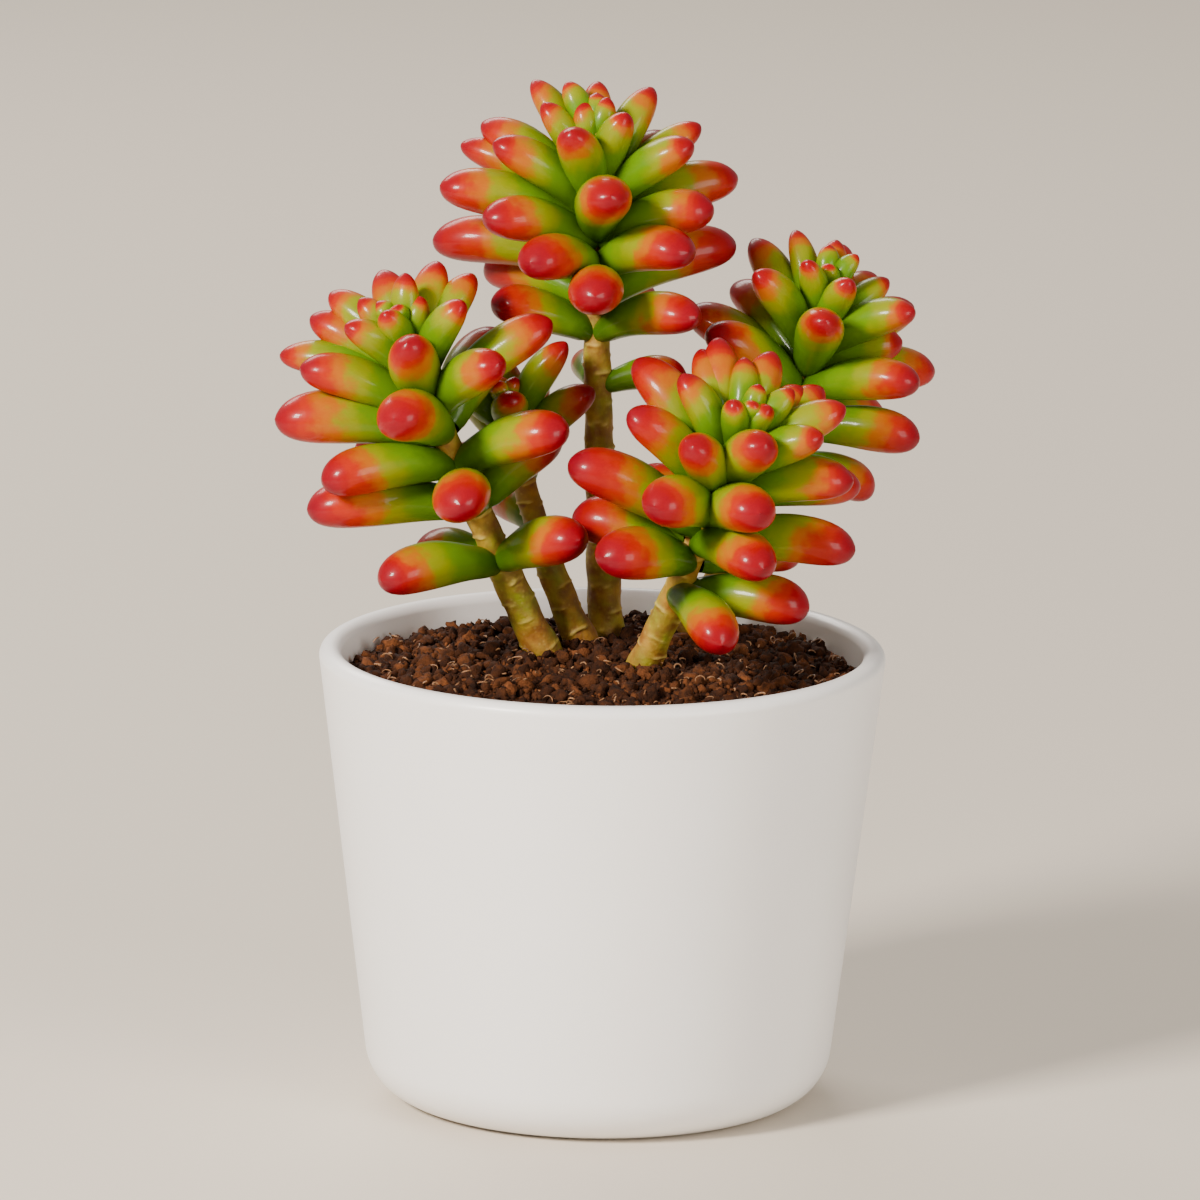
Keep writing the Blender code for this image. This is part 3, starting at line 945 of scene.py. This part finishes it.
@dataclass
class ScarredStem:
    """One shoot's stem, with a raised scar wherever a leaf has dropped.

    heart_size and rim_at count a scar's half width as 1. lobes are waves round the stem: their
    number, their depth and their twist per metre.
    """

    shoot: Shoot
    finish: Material
    sides: int = 48
    rings: int = 190
    root_depth: float = 5.0 * MM
    top_height: float = 0.8 * MM
    top_share: float = 0.6
    swell: float = 0.06
    swell_height: float = 2.5 * MM
    low_height: float = 14.0 * MM
    lobes: tuple[tuple[int, float, float], ...] = ((3, 0.035, 900.0), (2, 0.030, -400.0))
    bare_from: float = 0.55
    first_scar: float = 3.0 * MM
    spacing: float = 1.5 * MM
    spacing_spread: Pair = (0.8, 1.2)
    height_spread: float = 0.6 * MM
    turn_spread: float = 0.15
    clearness: Pair = (0.25, 1.0)
    scar_reach: float = 2.2 * MM
    scar_height: float = 0.50 * MM
    scar_width: float = 1.15 * MM
    sag: float = 0.22 * MM
    sag_rate: float = 1.6
    heart_size: float = 0.9
    heart_soft: float = 0.7
    heart_dip: float = 0.06 * MM
    rim_at: float = 1.15
    rim_soft: float = 0.38
    rim_rise: float = 0.30 * MM
    stain: float = 0.85

    def scars(self) -> list[Place]:
        """Draw where leaves have dropped off the bare stem.

        Returns:
            Each scar's height, its bearing in radians and how clear it is.
        """
        draw, length = self.shoot.draw, self.shoot.length
        bare = max(tier.down for tier in self.shoot.plan.tiers) * MM * self.bare_from
        places = []
        down, turn = self.first_scar, draw.uniform(0, DRAWN_TURN)
        while down < length:
            if down > bare:
                height = length - down + draw.uniform(-self.height_spread, self.height_spread)
                places.append((height, turn, draw.uniform(*self.clearness)))
            down += self.spacing * draw.uniform(*self.spacing_spread)
            turn += GOLDEN_ANGLE + draw.uniform(-self.turn_spread, self.turn_spread)
        return places

    def marks(self, scars: list[Place], height: float, radius: float) -> tuple[np.ndarray, np.ndarray]:
        """Work out how the scars mark one ring of the stem.

        Args:
            scars: The scars.
            height: The ring's height along the stem.
            radius: Its radius.

        Returns:
            The strength of the rims and of the hearts at each of its points.
        """
        rim, heart = np.zeros(self.sides), np.zeros(self.sides)
        for place, turn, clear in scars:
            if abs(height - place) > self.scar_reach:
                continue
            aside = (around(self.sides) - turn + math.pi) % FULL_TURN - math.pi
            sag = self.sag * np.cos(np.clip(aside * self.sag_rate, -1.5, 1.5))
            far = np.hypot((height - place + sag) / self.scar_height, aside * radius / self.scar_width)
            heart = np.maximum(heart, smooth_step((self.heart_size - far) / self.heart_soft) * clear)
            ridge = hill((far - self.rim_at) / self.rim_soft) * (height > place)
            rim = np.maximum(rim, ridge * clear)
        return rim, heart

    def build(self) -> None:
        """Make the stem's piece."""
        angle, length, scars = around(self.sides), self.shoot.length, self.scars()
        points, rims, hearts, low = [], [], [], []
        for height in np.linspace(-self.root_depth, length + self.top_height, self.rings):
            t = self.shoot.parameter(length - height) if height < length else 1.0
            growth, across, other = (np.array(v) for v in self.shoot.axes(t))
            beyond = min(height, 0.0) + max(height - length, 0.0)
            centre = np.array(self.shoot.point(t)) + growth * beyond
            base = self.shoot.radius(t) * (1.0 + self.swell * hill(height / self.swell_height))
            if height > length:
                base *= self.top_share
            rim, heart = self.marks(scars, height, base)
            lumps = sum(depth * np.sin(count * angle + height * twist) for count, depth, twist in self.lobes)
            radius = base * (1.0 + lumps) + self.rim_rise * rim - self.heart_dip * heart
            circle = np.outer(np.cos(angle), across) + np.outer(np.sin(angle), other)
            points.append(centre + radius[:, None] * circle)
            rims.append(rim * self.stain)
            hearts.append(heart * self.stain)
            low.append(np.full(self.sides, float(smooth_step(1.0 - height / self.low_height))))
        skin = Skin()
        skin.add(
            np.concatenate(points),
            sleeve_faces(self.rings, self.sides),
            scar_rim=np.concatenate(rims),
            scar_heart=np.concatenate(hearts),
            stem_low=np.concatenate(low),
        )
        name = self.shoot.plan.name
        skin.build(name + "_stem", self.finish, name, Slot.LEAFY)


@dataclass
class WhitePot:
    """The tapered pot with its rounded foot and rim. hub is the radius that the floors stop at."""

    finish: Material
    height: float = 73.2 * MM
    rim_radius: float = 45.0 * MM
    base_radius: float = 36.2 * MM
    wall: float = 3.6 * MM
    base_round: float = 9.0 * MM
    lip_round: float = 1.7 * MM
    floor: float = 6.0 * MM
    inner_round: float = 7.0 * MM
    hub: float = 0.3 * MM
    base_steps: int = 22
    wall_steps: int = 12
    lip_steps: int = 12
    inner_steps: int = 10
    segments: int = 160

    def taper(self) -> float:
        """Return the wall's flare in radians."""
        return math.atan2(self.rim_radius - self.base_radius, self.height)

    def corner(self, radius_at_floor: float, floor: float, rounding: float) -> Pair:
        """Return the centre of the round between a level floor and the wall."""
        reach = rounding * math.tan((math.pi / 2 - self.taper()) / 2)
        return radius_at_floor - reach, floor + rounding

    def arc(self, centre: Pair, radius: float, start: float, stop: float, steps: int) -> Iterator[Pair]:
        """Draw a round stretch of the section.

        Args:
            centre: The round's centre.
            radius: Its radius.
            start: Its first angle in degrees.
            stop: Its last angle in degrees.
            steps: Number of steps.

        Yields:
            Its points.
        """
        for i in range(steps + 1):
            angle = math.radians(start + (stop - start) * i / steps)
            yield centre[0] + radius * math.cos(angle), centre[1] + radius * math.sin(angle)

    def section(self) -> list[Pair]:
        """Draw the section, from the underside round to the inner floor.

        Returns:
            Its points in radius and height.
        """
        tilt, lip, steps = math.degrees(self.taper()), self.lip_round, self.wall_steps
        outer = self.corner(self.base_radius, 0.0, self.base_round)
        inner_at_floor = self.base_radius - self.wall + self.floor * math.tan(self.taper())
        inner = self.corner(inner_at_floor, self.floor, self.inner_round)
        top = self.height - lip
        points = [(self.hub, 0.0), (outer[0] * 0.5, 0.0)]
        points += self.arc(outer, self.base_round, -90.0, -tilt, self.base_steps)
        start = points[-1]
        stop = (self.rim_radius - lip + lip * math.cos(math.radians(-tilt)), top)
        points += [tuple(a + (b - a) * k / steps for a, b in zip(start, stop)) for k in range(1, steps)]
        points += self.arc((self.rim_radius - lip, top), lip, -tilt, 90.0, self.lip_steps)
        inside = (self.rim_radius - self.wall + lip, top)
        points += self.arc(inside, lip, 90.0, 180.0 - tilt, self.lip_steps)
        points += self.arc(inner, self.inner_round, -tilt, -90.0, self.inner_steps)
        return points + [(self.hub, self.floor)]

    def build(self) -> None:
        """Make the pot's piece."""
        angle, section = around(self.segments), self.section()
        rings = [
            np.stack([r * np.cos(angle), r * np.sin(angle), np.full(self.segments, z)], -1)
            for r, z in section
        ]
        skin = Skin()
        skin.add(np.concatenate(rings), sleeve_faces(len(section), self.segments))
        skin.build("pot_glazed", self.finish, "pot", Slot.POT)


@dataclass(frozen=True)
class Crumbs:
    """One sort of crumb: its piece's name, how many, Blender's subdivisions, and its radii."""

    name: str
    count: int
    facets: int
    small: float
    large: float


@dataclass
class CrumblySoil:
    """The soil's bed and the loose crumbs, grit and curled fibres on it.

    Tones run from 0 for dark soil to 1 for rusty soil.
    """

    finish: Material
    fibre_finish: Material
    plans: tuple[ShootPlan, ...]
    level: float = 68.5 * MM
    mound: float = 1.5 * MM
    edge: float = 40.6 * MM
    lump_rate: float = 140.0
    lump_height: float = 1.1 * MM
    bed_sides: int = 140
    bed_rings: int = 60
    bed_hub: float = 0.05 * MM
    bed_tone: float = 0.1
    edge_gap: float = 1.0 * MM
    stem_gap: float = 0.2 * MM
    sorts: tuple[Crumbs, ...] = (
        Crumbs("soil_crumbs", 2300, 2, 0.4 * MM, 1.35 * MM),
        Crumbs("soil_grit", 7200, 1, 0.2 * MM, 0.55 * MM),
    )
    size_power: float = 2.2
    stretch: Pair = (0.5, 1.35)
    dents: float = 0.75
    dent_rate: float = 2.1
    dent_span: float = 90.0
    spin_axis: Place = (-1.0, 0.2, 1.0)
    rise: float = 0.75
    tone_power: int = 3
    tone_most: float = 0.9
    fibres: int = 240
    fibre_sides: int = 5
    fibre_rings: int = 12
    fibre_bow: Pair = (0.3 * MM, 1.0 * MM)
    fibre_sweep: Pair = (1.6, 4.9)
    fibre_thick: Pair = (0.07 * MM, 0.14 * MM)
    fibre_end: float = 0.15
    fibre_tilt: float = 1.3
    fibre_lift: Pair = (0.8 * MM, 1.6 * MM)
    fibre_tone: float = 0.95
    draw: random.Random = field(default_factory=lambda: random.Random(5))

    def surface(self, x: float, y: float) -> float:
        """Return the bed's height at a place."""
        lumps = noise.fractal(Vector((x, y, 0.0)) * self.lump_rate, 1.0, 2.0, 3) * self.lump_height
        return self.level + self.mound * (1 - (math.hypot(x, y) / self.edge) ** 2) + lumps

    def bed(self) -> None:
        """Make the fine uneven disc that the crumbs lie on."""
        points = []
        for k in range(self.bed_rings):
            radius = self.edge * (1 - k / self.bed_rings) + self.bed_hub
            for angle in around(self.bed_sides):
                x, y = radius * math.cos(angle), radius * math.sin(angle)
                points.append((x, y, self.surface(x, y)))
        skin = Skin()
        skin.add(np.array(points), sleeve_faces(self.bed_rings, self.bed_sides), crumb_tone=self.bed_tone)
        skin.build("soil_bed", self.finish, "soil", Slot.SOIL)

    def ball(self, facets: int) -> tuple[np.ndarray, np.ndarray]:
        """Make a faceted ball of radius 1.

        Args:
            facets: Blender's number of subdivisions.

        Returns:
            Its points and triangles.
        """
        mesh = bpy.data.meshes.new("ball")
        editor = bmesh.new()
        bmesh.ops.create_icosphere(editor, subdivisions=facets, radius=1.0)
        editor.to_mesh(mesh)
        editor.free()
        points = np.array([v.co[:] for v in mesh.vertices])
        faces = np.array([p.vertices[:] for p in mesh.polygons])
        bpy.data.meshes.remove(mesh)
        return points, faces

    def clear(self, x: float, y: float, plan: ShootPlan) -> bool:
        """Return whether a place is clear of a shoot's stem."""
        away = math.hypot(x - plan.soil[0] * MM, y - plan.soil[1] * MM)
        return away > plan.foot_radius * MM + self.stem_gap

    def spot(self) -> Pair:
        """Draw places on the soil until one is clear of the stems.

        Returns:
            Its x and y.
        """
        while True:
            radius = (self.edge - self.edge_gap) * math.sqrt(self.draw.random())
            turn = self.draw.uniform(0, FULL_TURN)
            x, y = radius * math.cos(turn), radius * math.sin(turn)
            if all(self.clear(x, y, plan) for plan in self.plans):
                return x, y

    def scatter(self, sort: Crumbs) -> None:
        """Scatter one sort of crumb over the bed, inside its edge.

        Args:
            sort: The sort.
        """
        draw, skin = self.draw, Skin()
        ball, faces = self.ball(sort.facets)
        for _ in range(sort.count):
            x, y = self.spot()
            size = sort.small + (sort.large - sort.small) * draw.random() ** self.size_power
            shape = np.array([draw.uniform(*self.stretch) for _ in range(3)])
            offset = Vector((draw.uniform(0, self.dent_span), draw.uniform(0, self.dent_span), 0))
            dents = np.array([noise.noise(Vector(p) * self.dent_rate + offset) for p in ball])
            angle, axis = draw.uniform(0, DRAWN_TURN), Vector(draw.choices(self.spin_axis, k=3))
            turn = np.array(Matrix.Rotation(angle, 3, axis))
            points = (ball * (1 + self.dents * dents)[:, None] * shape) @ turn * size
            points += np.array((x, y, self.surface(x, y) + size * draw.uniform(0.0, self.rise)))
            away = np.hypot(points[:, 0], points[:, 1])
            points[:, :2] *= np.minimum(1.0, self.edge / away)[:, None]
            skin.add(points, faces, crumb_tone=draw.random() ** self.tone_power * self.tone_most)
        skin.build(sort.name, self.finish, "soil", Slot.SOIL)

    def curls(self) -> None:
        """Lay thin curled fibres among the crumbs."""
        draw, skin = self.draw, Skin()
        angle = around(self.fibre_sides)
        for _ in range(self.fibres):
            x, y = self.spot()
            bow, sweep, thick = (
                draw.uniform(*span) for span in (self.fibre_bow, self.fibre_sweep, self.fibre_thick)
            )
            tilt = Matrix.Rotation(draw.uniform(0, self.fibre_tilt), 3, "X")
            turn = np.array(Matrix.Rotation(draw.uniform(0, DRAWN_TURN), 3, "Z") @ tilt)
            points = []
            for s in np.linspace(0.0, 1.0, self.fibre_rings):
                slim = thick * (self.fibre_end + math.sin(math.pi * s) ** 0.5)
                radial = np.array((math.cos(sweep * s), math.sin(sweep * s), 0.0))
                circle = np.outer(np.cos(angle), radial) + np.outer(np.sin(angle), (0, 0, 1))
                points.append(radial * bow + slim * circle)
            place = np.array((x, y, self.surface(x, y) + draw.uniform(*self.fibre_lift)))
            faces = sleeve_faces(self.fibre_rings, self.fibre_sides)
            skin.add(np.concatenate(points) @ turn.T + place, faces, crumb_tone=self.fibre_tone)
        skin.build("soil_fibres", self.fibre_finish, "soil", Slot.SOIL)

    def build(self) -> None:
        """Make the bed, the crumbs, the grit and the fibres."""
        self.bed()
        for sort in self.sorts:
            self.scatter(sort)
        self.curls()


@dataclass(frozen=True)
class Lamp:
    """A soft rectangular light that faces the plant."""

    name: str
    place: Place
    size: Pair
    watts: float
    tint: Colour


@dataclass
class Studio:
    """The floor, the lights and the camera.

    image_width and focal_px are in the photograph's pixels, and sensor is in mm.
    """

    floor_finish: Material
    floor_width: float = 6.0
    floor_drop: float = 0.02 * MM
    world: Colour = (0.95, 0.91, 0.86)
    world_strength: float = 0.40
    lit_point: Place = (0.0, 0.0, 0.09)
    lamps: tuple[Lamp, ...] = (
        Lamp("key_left", (-0.72, -0.74, 0.70), (0.26, 0.26), 28.5, (1.0, 0.93, 0.85)),
        Lamp("fill_right", (0.75, -0.85, 0.40), (0.5, 0.6), 8.0, (1.0, 0.94, 0.87)),
        Lamp("rim_back", (-0.35, 0.9, 0.75), (0.8, 0.35), 9.0, (1.0, 0.95, 0.88)),
    )
    image_width: float = 1200.0
    focal_px: float = 15083.0
    sensor: float = 36.0
    distance: float = 2.394
    far_clip: float = 50.0
    elevation: float = math.radians(12.409)
    roll: float = math.radians(0.649)
    aim: Place = (-0.486 * MM, 0.0, 80.66 * MM)

    def floor(self) -> None:
        """Lay the floor just under the pot."""
        half = self.floor_width / 2
        corners = [(x * half, y * half, -self.floor_drop) for x, y in ((-1, -1), (1, -1), (1, 1), (-1, 1))]
        mesh = bpy.data.meshes.new("floor")
        mesh.from_pydata(corners, [], [(0, 1, 2, 3)])
        mesh.materials.append(self.floor_finish)
        plane = bpy.data.objects.new("floor", mesh)
        bpy.context.scene.collection.objects.link(plane)

    def hang(self, lamp: Lamp) -> None:
        """Hang one light.

        Args:
            lamp: The light.
        """
        data = bpy.data.lights.new(lamp.name, "AREA")
        data.shape = "RECTANGLE"
        data.size, data.size_y = lamp.size
        data.energy = lamp.watts
        data.color = lamp.tint
        light = bpy.data.objects.new(lamp.name, data)
        light.location = lamp.place
        toward = Vector(self.lit_point) - Vector(lamp.place)
        light.rotation_euler = toward.to_track_quat("-Z", "Y").to_euler()
        bpy.context.scene.collection.objects.link(light)

    def light(self) -> None:
        """Light the scene from the upper left, with soft fills from the right and from behind."""
        world = bpy.data.worlds.new("studio")
        world.use_nodes = True
        back = world.node_tree.nodes["Background"]
        back.inputs["Color"].default_value = (*self.world, 1.0)
        back.inputs["Strength"].default_value = self.world_strength
        bpy.context.scene.world = world
        for lamp in self.lamps:
            self.hang(lamp)

    def camera(self) -> None:
        """Set the camera where the photograph was taken from."""
        ahead = Vector((0.0, math.cos(self.elevation), -math.sin(self.elevation)))
        data = bpy.data.cameras.new("camera")
        data.sensor_width = self.sensor
        data.lens = self.sensor * self.focal_px / self.image_width
        data.clip_end = self.far_clip
        camera = bpy.data.objects.new("camera", data)
        camera.location = Vector(self.aim) - ahead * self.distance
        facing = ahead.to_track_quat("-Z", "Y").to_matrix() @ Matrix.Rotation(self.roll, 3, "Z")
        camera.rotation_euler = facing.to_euler()
        bpy.context.scene.collection.objects.link(camera)
        bpy.context.scene.camera = camera

    def build(self) -> None:
        """Make the floor, the lights and the camera."""
        self.floor()
        self.light()
        self.camera()


def main() -> None:
    """Dress the plant, its soil and its pot, and set the stage."""
    logging.basicConfig(level=logging.INFO, format="%(name)s %(message)s")
    Studio(PaleFloor().build()).build()
    WhitePot(SatinPot().build()).build()
    CrumblySoil(CrumbSoil().build(), SoilFibre().build(), SHOOTS).build()
    leaf, bark = WaxyLeaf().build(), BarkedStem().build()
    for plan in SHOOTS:
        shoot = Shoot(plan)
        ScarredStem(shoot, bark).build()
        BeanLeaves(shoot, leaf).build()


if __name__ == "__main__":
    main()
